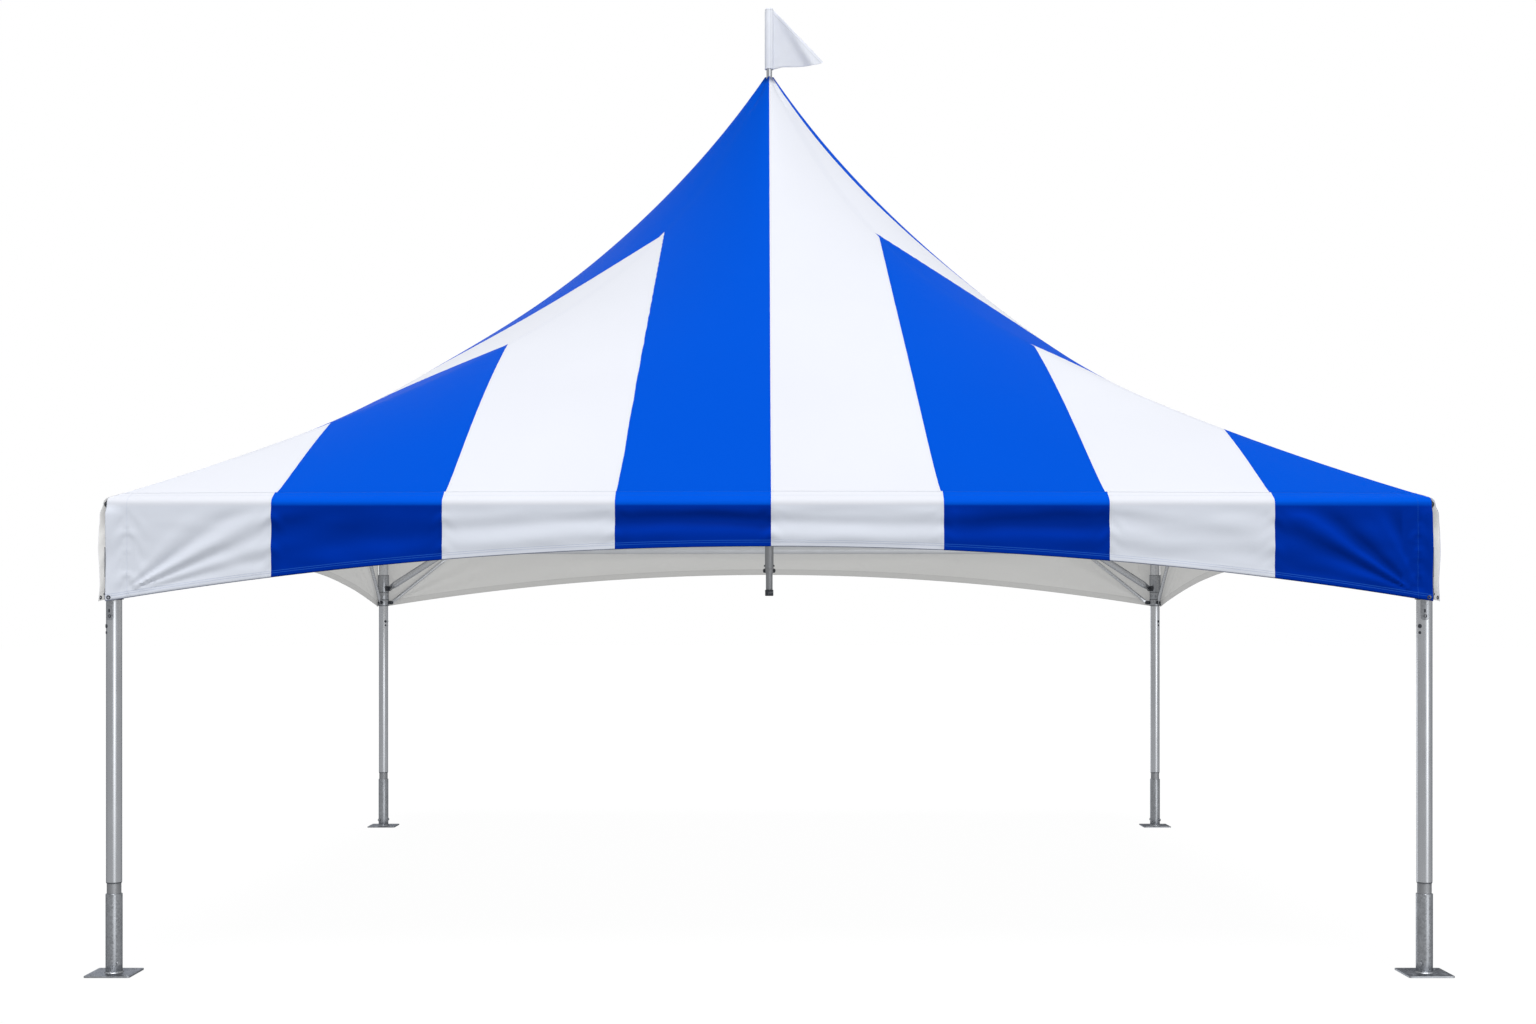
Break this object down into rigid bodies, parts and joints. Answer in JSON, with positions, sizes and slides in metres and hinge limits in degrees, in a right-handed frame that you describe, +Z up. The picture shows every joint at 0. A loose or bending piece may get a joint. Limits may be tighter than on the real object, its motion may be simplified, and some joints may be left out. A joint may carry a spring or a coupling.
{
  "type": "festival tent",
  "caption": "Square high-peak frame tent: four legs on base plates, eave beams, hip rafters, a flying mast, a striped roof with an arched valance, and a pennant on top.",
  "frame": {"origin": "on the ground at the middle of the covered floor", "axes": "+Z up, the front looks along -Y, the pennant flies towards +X at rest"},
  "size_m": [6.25, 6.25, 5.43],
  "materials": {
    "aluminium_tube": "drawn tube, satin, lightly scuffed",
    "zinc_steel": "galvanised, dull",
    "dark_steel": "dark coated, satin",
    "roof_cloth": "coated cloth in blue and white stripes, satin, light grey inside",
    "valance_cloth": "coated cloth in blue and white stripes, satin, light grey inside",
    "pennant_cloth": "plain white cloth, sewn sleeve"
  },
  "bodies": {
    "tent": {"foot_front_left": "zinc_steel", "foot_front_right": "zinc_steel", "foot_back_right": "zinc_steel", "foot_back_left": "zinc_steel", "leg_front_left": "aluminium_tube", "leg_front_right": "aluminium_tube", "leg_back_right": "aluminium_tube", "leg_back_left": "aluminium_tube", "leg_bracket_front_left": "zinc_steel", "leg_bracket_front_right": "zinc_steel", "leg_bracket_back_right": "zinc_steel", "leg_bracket_back_left": "zinc_steel", "corner_fitting_front_left": "zinc_steel", "corner_fitting_front_right": "zinc_steel", "corner_fitting_back_right": "zinc_steel", "corner_fitting_back_left": "zinc_steel", "eave_beam_front": "aluminium_tube", "eave_beam_right": "aluminium_tube", "eave_beam_back": "aluminium_tube", "eave_beam_left": "aluminium_tube", "hip_rafter_front_left": "aluminium_tube", "hip_rafter_front_right": "aluminium_tube", "hip_rafter_back_right": "aluminium_tube", "hip_rafter_back_left": "aluminium_tube", "knee_brace_front_left_on_front": "aluminium_tube", "knee_brace_front_left_on_left": "aluminium_tube", "knee_brace_front_right_on_front": "aluminium_tube", "knee_brace_front_right_on_right": "aluminium_tube", "knee_brace_back_right_on_back": "aluminium_tube", "knee_brace_back_right_on_right": "aluminium_tube", "knee_brace_back_left_on_back": "aluminium_tube", "knee_brace_back_left_on_left": "aluminium_tube", "crown_hub": "zinc_steel", "mast": "aluminium_tube", "mast_collar": "dark_steel", "mast_end_cap": "dark_steel", "peak_cap": "zinc_steel", "flag_pole": "aluminium_tube", "roof_front_near_left": "roof_cloth", "roof_front_near_right": "roof_cloth", "roof_right_near_front": "roof_cloth", "roof_right_near_back": "roof_cloth", "roof_back_near_right": "roof_cloth", "roof_back_near_left": "roof_cloth", "roof_left_near_back": "roof_cloth", "roof_left_near_front": "roof_cloth", "valance_front_near_left": "valance_cloth", "valance_front_middle": "valance_cloth", "valance_front_near_right": "valance_cloth", "valance_right_near_front": "valance_cloth", "valance_right_middle": "valance_cloth", "valance_right_near_back": "valance_cloth", "valance_back_near_right": "valance_cloth", "valance_back_middle": "valance_cloth", "valance_back_near_left": "valance_cloth", "valance_left_near_back": "valance_cloth", "valance_left_middle": "valance_cloth", "valance_left_near_front": "valance_cloth"},
    "pennant": {"pennant": "pennant_cloth"}
  },
  "joints": [
    {"name": "pennant_turn", "type": "hinge", "parent": "tent", "child": "pennant", "pos_m": [0, 0, 5.046], "axis": [0, 0, 1], "continuous": true}
  ]
}
